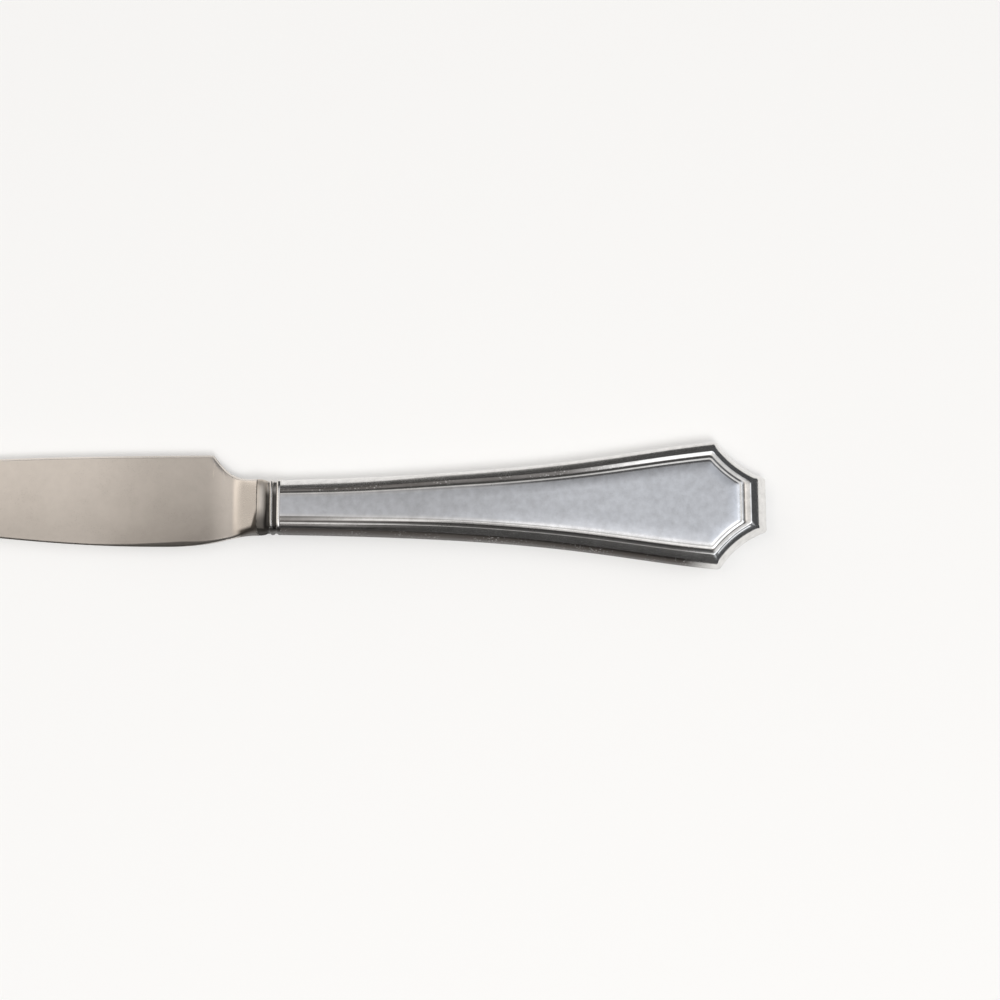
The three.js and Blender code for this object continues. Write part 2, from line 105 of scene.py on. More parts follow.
tang_half_width = 0.0032
tang_half_thickness = 0.0015
tang_notch_depth = 0.0007
tang_notch_half_length = 0.0025
tang_notches = 3
section_points = 160
section_steps = 800
tip_stations = 25
flat_stations = 90
heel_stations = 24
neck_stations = 72
# Polish of the blade, and its painted shade: darker towards the cutting edge, at the heel and under
# the neck by the collar. Fades are given by their start and end.
spine_polish_fade = (0.0002, 0.0009)
edge_polish_fade = (0.0002, 0.0004)
neck_polish = 0.6
neck_polish_rise = 0.15
edge_shade = 0.28
edge_shade_power = 1.5
heel_shade = 0.21
heel_edge_shade = 0.12
heel_fade_in = (heel_x - 0.0297, heel_x - 0.0067)
heel_fade_out = (heel_x - 0.0017, heel_x + 0.0038)
neck_shade_depth = 0.95
neck_shade_rise = 0.25
neck_shade_start = 0.73
neck_shade_run = 0.13
collar_shade_rise = 0.7
collar_shade_start = 0.12
collar_shade_run = 0.3


def bezier(*corners, steps=400):
    """X, Y and slope along a cubic curve, in equal steps of its parameter."""
    start, start_handle, end_handle, end = [np.array(corner) for corner in corners]
    t = np.linspace(0, 1, steps + 1)[:, None]
    u = 1 - t
    place = u**3 * start + 3 * u * u * t * start_handle + 3 * u * t * t * end_handle + t**3 * end
    pull = u * u * (start_handle - start) + 2 * u * t * (end_handle - start_handle)
    pull = pull + t * t * (end - end_handle)
    return place[:, 0], place[:, 1], pull[:, 1] / pull[:, 0]


def smoothstep(low, high, value):
    """0 below low, 1 above high, and an even ease between them."""
    t = np.clip((value - low) / (high - low), 0, 1)
    return t * t * (3 - 2 * t)


def lerp(start, end, share):
    """The value a share of the way from start to end."""
    return start + (end - start) * share


def even_ring(x, y, height, *notes):
    """A ring round a section given by its upper half from +Y to -Y, with more points where it turns.

    Notes are numbers along the upper half, and come back as numbers for the ring's points.
    """
    ys = np.concatenate([y, y[::-1], y[:1]])
    zs = np.concatenate([height, -height[::-1], height[:1]])
    steps = np.hypot(np.diff(ys), np.diff(zs))
    heading = np.unwrap(np.arctan2(np.diff(zs), np.diff(ys)))
    turning = np.abs(np.diff(heading, prepend=heading[0]))
    pace = np.concatenate([[0], np.cumsum(steps / steps.sum() + turning / (2 * math.pi))])
    stops = np.linspace(0, pace[-1], section_points, endpoint=False)
    ring = np.stack([np.full(section_points, x), np.interp(stops, pace, ys),
                     seam_z + np.interp(stops, pace, zs)], 1)
    rounds = [np.concatenate([note, note[::-1], note[:1]]) for note in notes]
    return [ring] + [np.interp(stops, pace, values) for values in rounds]


def oval_height(across, roundness):
    """Height of an oval, 0 to 1, at places from -1 to 1 across it: 2 is an ellipse, more is squarer."""
    return np.maximum(1 - np.abs(across) ** roundness, 1e-12) ** (1 / roundness)


section_across = np.cos(np.linspace(0, math.pi, section_steps + 1))


def centred_ring(x, half_width, half_thickness, roundness):
    """The points of an oval section round the knife's long axis."""
    height = np.maximum(half_thickness * oval_height(section_across, roundness), least_height)
    return even_ring(x, half_width * section_across, height)[0]


def ring_faces(rings, around, joined=False):
    """Quads between rings of points, and either both end caps or a last band back to the first ring."""
    faces = []
    for ring in range(rings if joined else rings - 1):
        here = ring * around
        there = (ring + 1) % rings * around
        for i in range(around):
            j = (i + 1) % around
            faces.append((here + i, here + j, there + j, there + i))
    if not joined:
        faces.append(tuple(range(around)))
        faces.append(tuple(range((rings - 1) * around, rings * around)))
    return faces


def make_piece(name, points, faces, crisp_angle=35):
    """A smooth mesh in the scene, faces outwards, crisp where it turns by more than the angle."""
    mesh = bpy.data.meshes.new(name)
    mesh.from_pydata(np.asarray(points).tolist(), [], faces)
    form = bmesh.new()
    form.from_mesh(mesh)
    bmesh.ops.recalc_face_normals(form, faces=form.faces)
    form.to_mesh(mesh)
    form.free()
    mesh.shade_smooth()
    mesh.set_sharp_from_angle(angle=math.radians(crisp_angle))
    piece = bpy.data.objects.new(name, mesh)
    scene.collection.objects.link(piece)
    return piece


def note_surface(piece, name, values):
    """Keeps one number for each vertex, which the piece's material reads by name."""
    note = piece.data.attributes.new(name, "FLOAT", "POINT")
    note.data.foreach_set("value", np.asarray(values, dtype=np.float32))


spine_curve = bezier(
    (tip_x, tip_middle_y + tip_half_height),
    (tip_x + tip_reach, tip_middle_y + tip_half_height + tip_reach * tip_taper),
    (heel_x - spine_straight, spine_y),
    (heel_x, spine_y),
)
edge_curve = bezier(
    (tip_x, tip_middle_y - tip_half_height),
    (tip_x + tip_reach, tip_middle_y - tip_half_height - tip_reach * tip_taper),
    (belly_x - edge_straight, belly_y),
    (belly_x, belly_y),
)
neck_cut_curve = bezier(
    (heel_x, spine_y),
    (heel_x + neck_cut_run, spine_y - neck_cut_drop),
    (bolster_x - neck_cut_ease, mouth_half_width),
    (bolster_x, mouth_half_width),
)
heel_curve = bezier(
    (belly_x, belly_y),
    (belly_x + heel_reach, belly_y),
    (bolster_x - heel_ease, -mouth_half_width),
    (bolster_x, -mouth_half_width),
)


def bolster_rise(x):
    """How far the bolster has risen from the blade's flat, 0 to 1: a fillet, then an even slope."""
    run = max(0.0, x - (bolster_x - bolster_rise_length))
    full = bolster_rise_length - bolster_fillet_length / 2
    if run < bolster_fillet_length:
        return run * run / (2 * bolster_fillet_length * full)
    return (run - bolster_fillet_length / 2) / full


def eased_minimum(one, other, ease):
    """The lower of two heights, with a small round where they cross."""
    return (one + other - np.sqrt((one - other) ** 2 + ease**2)) / 2


def blade_finish(x, from_spine, from_edge, rise):
    """Polish and painted shade of a section: a bright spine and edge, shade at the edge, heel and neck."""
    polish = 1 - smoothstep(*spine_polish_fade, from_spine)
    polish = np.maximum(polish, 1 - smoothstep(*edge_polish_fade, from_edge))
    polish = np.maximum(polish, neck_polish * smoothstep(0, neck_polish_rise, rise))
    towards_edge = (1 - section_across) / 2
    near_heel = smoothstep(*heel_fade_in, x) * (1 - smoothstep(*heel_fade_out, x))
    # Painted shade: darker towards the cutting edge and near the heel, then under the neck by the collar.
    painted_shade = edge_shade * towards_edge**edge_shade_power
    painted_shade = painted_shade + near_heel * (heel_shade + heel_edge_shade * towards_edge)
    near_collar = smoothstep(collar_shade_rise, 1, rise)
    shade_start = lerp(neck_shade_start, collar_shade_start, near_collar)
    shade_run = lerp(neck_shade_run, collar_shade_run, near_collar)
    shade = neck_shade_depth * smoothstep(shade_start, shade_start + shade_run, -section_across)
    return polish, lerp(painted_shade, shade, smoothstep(0, neck_shade_rise, rise))


def blade_ring(x):
    """One section of the blade, with its points' polish and painted shade."""
    top = np.interp(x, *spine_curve[:2]) if x < heel_x else np.interp(x, *neck_cut_curve[:2])
    bottom = np.interp(x, *edge_curve[:2]) if x < belly_x else np.interp(x, *heel_curve[:2])
    from_tip = min(1.0, (x - tip_x) / tip_round)
    half = lerp(tip_blunt, (top - bottom) / 2, math.sqrt(1 - (1 - from_tip) ** 2))
    from_spine = half * (1 - section_across)
    from_edge = half * (1 + section_across)
    along = min(1.0, (x - tip_x) / (heel_x - tip_x))
    spine = lerp(tip_half_thickness, spine_half_thickness, along)
    edge = lerp(edge_half_thickness, heel_edge_half_thickness,
                smoothstep(heel_x - heel_edge_length, heel_x, x))
    height = lerp(edge, spine, (section_across + 1) / 2)
    spine_wall = spine * (1 - spine_chamfer_share)
    height = eased_minimum(height, spine_wall + from_spine * spine_chamfer_slope, spine_chamfer_ease)
    swell = edge_chamfer_swell * math.exp(-((x - belly_x) / edge_chamfer_swell_length) ** 2)
    edge_wall = max(edge - (edge_chamfer_height + swell), least_edge_wall)
    height = eased_minimum(height, edge_wall + from_edge * edge_chamfer_slope, edge_chamfer_ease)
    eased = smoothstep(heel_x - neck_ease_lead, heel_x + neck_ease_start, x)
    eased = eased * (1 - smoothstep(heel_x, heel_x + neck_ease_length, x))
    near_cut = np.maximum(1 - from_spine / neck_ease_width, 0) ** 2
    height = np.maximum(height - eased * neck_ease_depth * near_cut, least_eased_height)
    rise = bolster_rise(x)
    height = lerp(height, bolster_half_thickness * oval_height(section_across, collar_roundness), rise)
    height = np.maximum(height, least_height)
    finish = blade_finish(x, from_spine, from_edge, rise)
    return even_ring(x, (top + bottom) / 2 + half * section_across, height, *finish)


tip_turn = np.linspace(0, math.pi / 2, tip_stations)
blade_stations = np.concatenate([
    tip_x + tip_round * (1 - np.cos(tip_turn)),
    np.linspace(tip_x + tip_round, belly_x, flat_stations)[1:],
    np.linspace(belly_x, heel_x, heel_stations)[1:],
    np.linspace(heel_x, bolster_x, neck_stations)[1:],
])
blade_rings, blade_polish, blade_painted_shade = map(list, zip(*map(blade_ring, blade_stations)))
tang_end = blade_high.x
tang_pitch = (tang_end - bolster_x) / (tang_notches + 1)
tang_stations = [(bolster_x, 0.0)]
for notch in range(1, tang_notches + 1):
    notch_x = bolster_x + notch * tang_pitch
    for share, cut in [(-1, 0.0), (-0.5, tang_notch_depth), (0.5, tang_notch_depth), (1, 0.0)]:
        tang_stations.append((notch_x + share * tang_notch_half_length, cut))
tang_stations.append((tang_end, 0.0))
for x, cut in tang_stations:
    blade_rings.append(centred_ring(x, tang_half_width - cut, tang_half_thickness, tang_roundness))

blade = make_piece("blade_forging", np.concatenate(blade_rings),
                   ring_faces(len(blade_rings), section_points))
tang_plain = np.zeros(len(tang_stations) * section_points)
note_surface(blade, "polish", np.concatenate([*blade_polish, tang_plain]))
note_surface(blade, "painted_shade", np.concatenate([*blade_painted_shade, tang_plain]))


def place_node(tree, kind, values, **settings):
    """A shader node with its settings, and each of its inputs set to a value or linked to a socket."""
    node = tree.nodes.new("ShaderNode" + kind)
    for setting, choice in settings.items():
        setattr(node, setting, choice)
    for name, value in values.items():
        if isinstance(value, bpy.types.NodeSocket):
            tree.links.new(value, node.inputs[name])
        else:
            node.inputs[name].default_value = value
    return node


def calculate(tree, operation, *values):
    """One step of arithmetic on values or sockets."""
    return place_node(tree, "Math", dict(enumerate(values)), operation=operation).outputs[0]


def spread(tree, value, from_low, from_high, to_low, to_high, ease="LINEAR"):
    """A value carried from one range to another, and held within it."""
    values = {"Value": value, "From Min": from_low, "From Max": from_high}
    values.update({"To Min": to_low, "To Max": to_high})
    return place_node(tree, "MapRange", values, interpolation_type=ease).outputs[0]


def blend_colours(tree, share, start, end):
    """One colour passing into another: inputs 6 and 7 are the Mix node's colour sockets."""
    return place_node(tree, "Mix", {0: share, 6: start, 7: end}, data_type="RGBA").outputs[2]


def effect_group(name, inputs, output):
    """An empty shader group with number inputs and one number output, and its two ends."""
    tree = bpy.data.node_groups.new(name, "ShaderNodeTree")
    for label, value in inputs.items():
        socket = tree.interface.new_socket(label, in_out="INPUT", socket_type="NodeSocketFloat")
        socket.default_value = value
    tree.interface.new_socket(output, in_out="OUTPUT", socket_type="NodeSocketFloat")
    return tree, tree.nodes.new("NodeGroupInput").outputs, tree.nodes.new("NodeGroupOutput").inputs


def scaled(tree, place, *scale):
    """A place times a scale along each axis."""
    size = place_node(tree, "CombineXYZ", dict(zip("XYZ", scale))).outputs[0]
    return place_node(tree, "VectorMath", {0: place, 1: size}, operation="MULTIPLY").outputs[0]


def surface_place(tree, *scale):
    """The place on the piece in metres, times a scale along each axis."""
    return scaled(tree, place_node(tree, "TexCoord", {}).outputs["Object"], *scale)


def polishing_lines_group():
    """Fine lines left along the knife by the polishing wheel."""
    tree, given, result = effect_group("polishing lines", {"Lines per Metre": 6000, "Run": 50}, "Lines")
    across = given["Lines per Metre"]
    along = calculate(tree, "DIVIDE", across, given["Run"])
    place = surface_place(tree, along, across, along)
    noise = place_node(tree, "TexNoise", {"Vector": place, "Scale": 1.0, "Detail": 3.0})
    tree.links.new(noise.outputs["Fac"], result["Lines"])
    return tree


def hairline_scratches_group():
    """Short hairline scratches from washing and use, in two slanting directions."""
    tree, given, result = effect_group(
        "hairline scratches", {"Scratches per Metre": 300, "Width": 0.05, "Run": 14}, "Scratches")
    across = given["Scratches per Metre"]
    along = calculate(tree, "DIVIDE", across, given["Run"])
    object_place = place_node(tree, "TexCoord", {}).outputs["Object"]
    layers = []
    for slant in [math.radians(17), math.radians(-38)]:
        turned = place_node(tree, "VectorRotate", {"Vector": object_place, "Angle": slant},
                            rotation_type="Z_AXIS").outputs[0]
        place = scaled(tree, turned, along, across, across)
        cells = place_node(tree, "TexVoronoi", {"Vector": place, "Scale": 1.0})
        layers.append(spread(tree, cells.outputs["Distance"], 0.0, given["Width"], 1.0, 0.0))
    tree.links.new(calculate(tree, "MAXIMUM", *layers), result["Scratches"])
    return tree


def pits_group():
    """Small pits and specks, gathered in patches."""
    tree, given, result = effect_group(
        "pits", {"Pits per Metre": 2500, "Size": 0.25, "Patches per Metre": 160}, "Pits")
    fine = given["Pits per Metre"]
    cells = place_node(tree, "TexVoronoi", {"Vector": surface_place(tree, fine, fine, fine), "Scale": 1.0})
    specks = spread(tree, cells.outputs["Distance"], 0.0, given["Size"], 1.0, 0.0)
    broad = given["Patches per Metre"]
    place = surface_place(tree, broad, broad, broad)
    patches = place_node(tree, "TexNoise", {"Vector": place, "Scale": 1.0})
    cover = spread(tree, patches.outputs["Fac"], 0.45, 0.65, 0.0, 1.0)
    tree.links.new(calculate(tree, "MULTIPLY", specks, cover), result["Pits"])
    return tree


def handling_marks_group():
    """Broad cloudy marks from handling and drying."""
    tree, given, result = effect_group("handling marks", {"Marks per Metre": 90}, "Marks")
    broad = given["Marks per Metre"]
    place = surface_place(tree, broad, broad, broad)
    noise = place_node(tree, "TexNoise", {"Vector": place, "Scale": 1.0, "Detail": 5.0, "Roughness": 0.6})
    tree.links.new(spread(tree, noise.outputs["Fac"], 0.3, 0.7, 0.0, 1.0), result["Marks"])
    return tree


polishing_lines = polishing_lines_group()
hairline_scratches = hairline_scratches_group()
pits = pits_group()
handling_marks = handling_marks_group()


def place_effect(tree, effect, values):
    """A shared effect, with this material's own values."""
    return place_node(tree, "Group", values, node_tree=effect).outputs[0]


def new_material(name):
    """A material, its node tree and its shader."""
    material = bpy.data.materials.new(name)
    material.use_nodes = True
    return material, material.node_tree, material.node_tree.nodes["Principled BSDF"]


def worn_and_shaded_steel(name, satin, polished, grime_and_shade, satin_roughness, polished_roughness, lines_per_metre, mottle,
               flecks):
    """Steel with a satin ground, polished where its piece says so, and darkened by painted shade where
    its piece notes it, as in its creases.

    Mottle is how far fine marks darken it, and flecks how far small pits break up its painted shade.
    """
    clean_shade_share = 0.9
    marks_tint = 0.07
    specks_tint = 0.16
    marks_roughness = 0.06
    lines_roughness = 0.05
    scratches_roughness = 0.12
    shade_roughness = 0.2
    scratches_relief = -0.8
    relief_strength = 0.08
    relief_depth = 0.00001
    material, tree, shader = new_material(name)
    polish = place_node(tree, "Attribute", {}, attribute_name="polish").outputs["Fac"]
    painted_shade = place_node(tree, "Attribute", {}, attribute_name="painted_shade").outputs["Fac"]
    lines = place_effect(tree, polishing_lines, {"Lines per Metre": lines_per_metre, "Run": 60})
    scratches = place_effect(tree, hairline_scratches, {"Scratches per Metre": 420, "Width": 0.05})
    specks = place_effect(tree, pits, {"Pits per Metre": 2000, "Size": 0.36, "Patches per Metre": 170})
    marks = place_effect(tree, handling_marks, {"Marks per Metre": 85})
    mottling = place_effect(tree, handling_marks, {"Marks per Metre": 600})

    steel = blend_colours(tree, polish, (*satin, 1), (*polished, 1))
    # Painted shade: the piece's note blends the steel towards the dark colour, broken up by marks and pits.
    marked_share = spread(tree, marks, 0, 1, clean_shade_share, 1.0)
    unpitted_share = spread(tree, specks, 0, 1, 1.0, 1 - flecks)
    unbroken_share = calculate(tree, "MULTIPLY", marked_share, unpitted_share)
    broken_shade = calculate(tree, "MULTIPLY", painted_shade, unbroken_share)
    shaded = blend_colours(tree, broken_shade, steel, (*grime_and_shade, 1))
    marking = calculate(tree, "MULTIPLY", marks, marks_tint)
    marking = calculate(tree, "MULTIPLY_ADD", mottling, mottle, marking)
    marked = blend_colours(tree, marking, shaded, (*grime_and_shade, 1))
    stain = calculate(tree, "MULTIPLY", specks, specks_tint)
    tree.links.new(blend_colours(tree, stain, marked, (*grime_and_shade, 1)), shader.inputs["Base Color"])

    rough = spread(tree, polish, 0, 1, satin_roughness, polished_roughness)
    rough = calculate(tree, "MULTIPLY_ADD", marks, marks_roughness, rough)
    rough = calculate(tree, "MULTIPLY_ADD", lines, lines_roughness, rough)
    rough = calculate(tree, "MULTIPLY_ADD", scratches, scratches_roughness, rough)
    rough = calculate(tree, "MULTIPLY_ADD", broken_shade, shade_roughness, rough)
    tree.links.new(rough, shader.inputs["Roughness"])

    relief = calculate(tree, "MULTIPLY", lines, spread(tree, polish, 0, 1, 1.0, 0.0))
    relief = calculate(tree, "MULTIPLY_ADD", scratches, scratches_relief, relief)
    relief = calculate(tree, "MULTIPLY_ADD", specks, -flecks, relief)
    bump = {"Strength": relief_strength, "Distance": relief_depth, "Height": relief}
    tree.links.new(place_node(tree, "Bump", bump).outputs[0], shader.inputs["Normal"])
    shader.inputs["Metallic"].default_value = 1.0
    return material


# The warm tint of the blade's steel colours is painted reflection of warm light.
blade.data.materials.append(worn_and_shaded_steel(
    "blade_steel", satin=(0.66, 0.605, 0.55), polished=(0.79, 0.735, 0.68), grime_and_shade=(0.055, 0.046, 0.038),
    satin_roughness=0.3, polished_roughness=0.16, lines_per_metre=7000, mottle=0.05, flecks=0.0))
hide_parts("blade")
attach(blade, "root")

# Solder ring: a thin ring of soft solder that closes the joint between the bolster and the collar.
# It lies a little under the steel on both sides and shows as a fine dull line.
solder_low, solder_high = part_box("bolster_solder")
solder_half_width = solder_high.y
solder_half_thickness = solder_high.z - seam_z
solder_hollow = 0.00005
solder_stations = 7
tang_gap = 0.0003


def bore_ring(x):
    """A ring of the bore that the tang passes through."""
    return centred_ring(x, tang_half_width + tang_gap, tang_half_thickness + tang_gap, tang_roundness)


solder_rings = []
for along in np.linspace(0, 1, solder_stations):
    sunk = solder_hollow * math.sin(math.pi * along)
    solder_rings.append(centred_ring(lerp(solder_low.x, solder_high.x, along), solder_half_width - sunk,
                                     solder_half_thickness - sunk, collar_roundness))
solder_rings += [bore_ring(solder_high.x), bore_ring(solder_low.x)]
solder_ring = make_piece("solder_ring", np.concatenate(solder_rings),
                         ring_faces(len(solder_rings), section_points, joined=True))


def dull_metal(name, bright, dark, least_roughness, most_roughness):
    """A soft joining metal, cloudy and pitted."""
    material, tree, shader = new_material(name)
    marks = place_effect(tree, handling_marks, {"Marks per Metre": 900})
    specks = place_effect(tree, pits, {"Pits per Metre": 6000, "Size": 0.35, "Patches per Metre": 900})
    cloudy = blend_colours(tree, marks, (*bright, 1), (*dark, 1))
    tree.links.new(blend_colours(tree, specks, cloudy, (*dark, 1)), shader.inputs["Base Color"])
    rough = spread(tree, marks, 0, 1, least_roughness, most_roughness)
    tree.links.new(rough, shader.inputs["Roughness"])
    bump = place_node(tree, "Bump", {"Strength": 0.4, "Distance": 0.00002, "Height": specks}, invert=True)
    tree.links.new(bump.outputs[0], shader.inputs["Normal"])
    shader.inputs["Metallic"].default_value = 1.0
    return material


solder_ring.data.materials.append(dull_metal(
    "solder", bright=(0.34, 0.32, 0.29), dark=(0.13, 0.12, 0.11), least_roughness=0.35, most_roughness=0.6))
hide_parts("bolster_solder")
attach(solder_ring, "root")

# Collar: a turned steel ferrule with a satin swelled front, then two polished beads before the handle.
# It is soldered to the bolster. Its spigot seats the two shells, and the tang passes through its bore.
ferrule_low, ferrule_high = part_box("ferrule")
collar_half_width = ferrule_high.y
collar_half_thickness = ferrule_high.z - seam_z
collar_bead_width = 0.00095
collar_groove_width = 0.00053
collar_groove_depth = 0.0009
collar_bead_sink = 0.0002
collar_end_depth = 0.0004
collar_width_share = 0.35
collar_bead_stations = 19
swell_length = mouth_x - ferrule_low.x - 2 * (collar_bead_width + collar_groove_width)
swell_curve = 2.4
swell_stations = 15
spigot_half_width = 0.0048
spigot_half_thickness = 0.0023
spigot_roundness = 2.4
# Painted shade on the collar: by part and in the grooves, less towards the spine, more towards the edge
swell_shade = 0.05
collar_bead_shades = [0.4, 0.0]
groove_shade = 1.2
spine_side_shade_share = 0.15
spine_side_fade = (0.3, 0.8)
swell_low_shade = 0.75
swell_low_fade = (0.0, 0.7)
collar_low_fade = (0.78, 0.9)

collar_profile = []
for along in np.linspace(0, 1, swell_stations):
    collar_profile.append((swell_length * along, collar_groove_depth * along**swell_curve, swell_shade))
for bead, collar_bead_shade in enumerate(collar_bead_shades):
    bead_start = swell_length + collar_groove_width + bead * (collar_groove_width + collar_bead_width)
    for turn in np.linspace(0, math.pi, collar_bead_stations):
        along = bead_start + collar_bead_width * (1 - math.cos(turn)) / 2
        at_handle = bead == 1 and turn > math.pi / 2
        foot = collar_end_depth if at_handle else collar_groove_depth
        collar_profile.append((along, lerp(foot, collar_bead_sink, math.sin(turn)), collar_bead_shade))
collar_rings = []
for along, under, ring_shade in collar_profile:
    collar_rings.append(centred_ring(ferrule_low.x + along, collar_half_width - under * collar_width_share,
                                     collar_half_thickness - under, collar_roundness))
for x in [mouth_x, ferrule_high.x]:
    collar_rings.append(centred_ring(x, spigot_half_width, spigot_half_thickness, spigot_roundness))
collar_rings += [bore_ring(ferrule_high.x), bore_ring(ferrule_low.x)]
collar = make_piece("collar", np.concatenate(collar_rings),
                    ring_faces(len(collar_rings), section_points, joined=True))
# Painted shade: dark in the grooves and on the cutting edge's side, fading towards the spine.
collar_painted_shade = np.zeros(len(collar_rings))
for ring, (along, under, ring_shade) in enumerate(collar_profile):
    collar_painted_shade[ring] = max(ring_shade, min(1, groove_shade * (under / collar_groove_depth) ** 3))
collar_low_side = -np.concatenate(collar_rings)[:, 1] / collar_half_width
on_swell = np.repeat(np.arange(len(collar_rings)) < swell_stations, section_points)
collar_painted_shade = np.repeat(collar_painted_shade, section_points)
collar_painted_shade *= lerp(1, spine_side_shade_share, smoothstep(*spine_side_fade, -collar_low_side))
collar_painted_shade += swell_low_shade * on_swell * smoothstep(*swell_low_fade, collar_low_side)
collar_painted_shade = np.maximum(collar_painted_shade, smoothstep(*collar_low_fade, collar_low_side))
note_surface(collar, "polish", np.where(on_swell, 0.0, 1.0))
note_surface(collar, "painted_shade", np.clip(collar_painted_shade, 0, 1))
# The swell's cream satin colour is painted reflection of warm light.
collar.data.materials.append(worn_and_shaded_steel(
    "collar_steel", satin=(0.82, 0.75, 0.67), polished=(0.77, 0.75, 0.72), grime_and_shade=(0.03, 0.027, 0.024),
    satin_roughness=0.5, polished_roughness=0.12, lines_per_metre=9000, mottle=0.05, flecks=0.0))
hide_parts("ferrule")
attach(collar, "root")

# Handle shells: two stampings in stainless sheet, mirrored, brazed together along their rims.
# A rounded side, a flat bead, a crease with a fine ridge and a gentle bevel frame a satin panel.
# The flanks flare to the shoulders, and hollow notches lead in to the flat of the butt.
butt_x = shell_high.x
shoulder_half_width = shell_high.y
butt_length = 0.0102
shoulder_x = butt_x - butt_length
butt_half_flat = 0.0058
notch_depth = 0.0011
mouth_straight = 0.061
mouth_flare = 0.02
shoulder_straight = 0.0236
shoulder_flare = 0.1
corner_round = 0.0005
flank_points = 110
corner_points = 7
notch_points = 28
flat_points = 13
shoulder_steps = 1200
# Widths of the mouldings at the shoulder, the notch, the butt and the mouth,
# and what the mouth end adds on the spine's side and on the cutting edge's side
side_feet = np.array([0.0, 0.0006, 0.00133, 0.0, 0.0, 0.0])
side_bends = np.array([0.0005, 0.00095, 0.0015, 0.00075, 0.00145, -0.00015])
side_runs = np.array([0.00245, 0.0024, 0.0035, 0.002, 0.0005, -0.0004])
bead_widths = np.array([0.001, 0.00095, 0.0015, 0.00077, -0.00012, -0.0002])
foot_widths = np.array([0.0005, 0.00045, 0.0005, 0.00038, 0.0, 0.0003])
ridge_widths = np.array([0.00038, 0.00035, 0.0004, 0.00029, 0.0, 0.00015])
bevel_runs = np.array([0.003, 0.0027, 0.003, 0.0023, 0.0, 0.0])
# Heights of the mouldings above the seam. The lift raises them at the mouth end, and the turns
# tip the bead outwards there and round the notches.
rim_height = shell_low.z - seam_z
side_top = 0.00367
side_heights = [0.0, 0.0021, 0.00263, side_top]
mouth_lift = 0.00024
mouth_lift_fade = (mouth_x + 0.0345, mouth_x + 0.0695)
side_lifts = [0.0, 0.7, 1.42, 1.0]
mouth_end_fade = (mouth_x + 0.0095, mouth_x + 0.0395)
mouth_side_turns = [0.0, 0.0, 0.00053, -0.00019]
notch_side_turns = [0.0, 0.0, 0.00025, -0.00019]
bead_turn = 0.00011
ridge_turn = 0.00005
bead_crown = 0.00004
bead_crown_share = 0.14
bead_fall = 0.00025
foot_rise = 0.0002
ridge_fall = 0.00002
bevel_foot_share = 0.16
bevel_foot_rise = 0.00006
bevel_foot_curve = 1.25
bevel_spacing = 1.4
bevel_polish = 0.5
bevel_polish_fade = (0.05, 0.35)
rim_end = 0.68
crease_start = 0.75
crease_end = 0.5
side_levels = 34
bead_levels = 22
foot_levels = 8
ridge_levels = 6
bevel_levels = 30
levels_per_inner = 4
shell_wall = 0.0008
# Painted shade: dark reflections along the two flanks and in the creases, darker towards the mouth end
rim_shade = 1.08
side_shade = 0.25
side_mouth_shade = 0.85
side_spine_shade = 0.45
bead_shade = 0.75
bead_mouth_shade = 0.25
bead_spine_shade = 0.95
ridge_mouth_shade = 0.8
ridge_spine_shade = 0.4
mouth_end_shade = 0.24
crease_spine_share = 0.5
crease_notch_loss = 0.8
crease_mouth_spread = 0.1
shade_ease_points = 8
mouth_end_shade_fade = (mouth_x + 0.0295, mouth_x + 0.0695)
spine_shade_fade = (mouth_x + 0.0595, mouth_x + 0.0835)
mouth_shade_fade = (mouth_x + 0.0195, mouth_x + 0.0445)
ridge_shade_fade = (mouth_x - 0.0005, mouth_x + 0.0295)

flank_x, flank_y, flank_slope = bezier(
    (mouth_x, mouth_half_width),
    (mouth_x + mouth_straight, mouth_half_width + mouth_straight * mouth_flare),
    (shoulder_x - shoulder_straight, shoulder_half_width - shoulder_straight * shoulder_flare),
    (shoulder_x, shoulder_half_width),
)
notch_chord = Vector((butt_x - shoulder_x, butt_half_flat - shoulder_half_width))
notch_radius = notch_chord.length_squared / (8 * notch_depth) + notch_depth / 2
notch_away = Vector((-notch_chord.y, notch_chord.x)).normalized()
notch_middle = Vector((shoulder_x, shoulder_half_width)) + notch_chord / 2
notch_centre = notch_middle + notch_away * (notch_radius - notch_depth)


def mouth_share(x):
    """1 at the mouth end of the handle, easing to 0 before its middle."""
    return 1 - smoothstep(*mouth_end_fade, x)


def flank_half_width(x, inset, mouth_inset, mouth_extra, offset):
    """Half width of the handle at x, drawn in by an inset that changes along the flank, and an offset."""
    drawn_in = lerp(mouth_inset, inset, (x - mouth_x) / (shoulder_x - mouth_x))
    drawn_in = drawn_in + mouth_extra * mouth_share(x) + offset
    return np.interp(x, flank_x, flank_y) - drawn_in * np.hypot(1, np.interp(x, flank_x, flank_slope))


def eased_corner(before, corner, after):
    """Points of a small round between two lines that meet at a corner."""
    t = np.linspace(0, 1, corner_points + 2)[1:-1, None]
    return (1 - t) ** 2 * before + 2 * t * (1 - t) * np.array(corner) + t * t * after


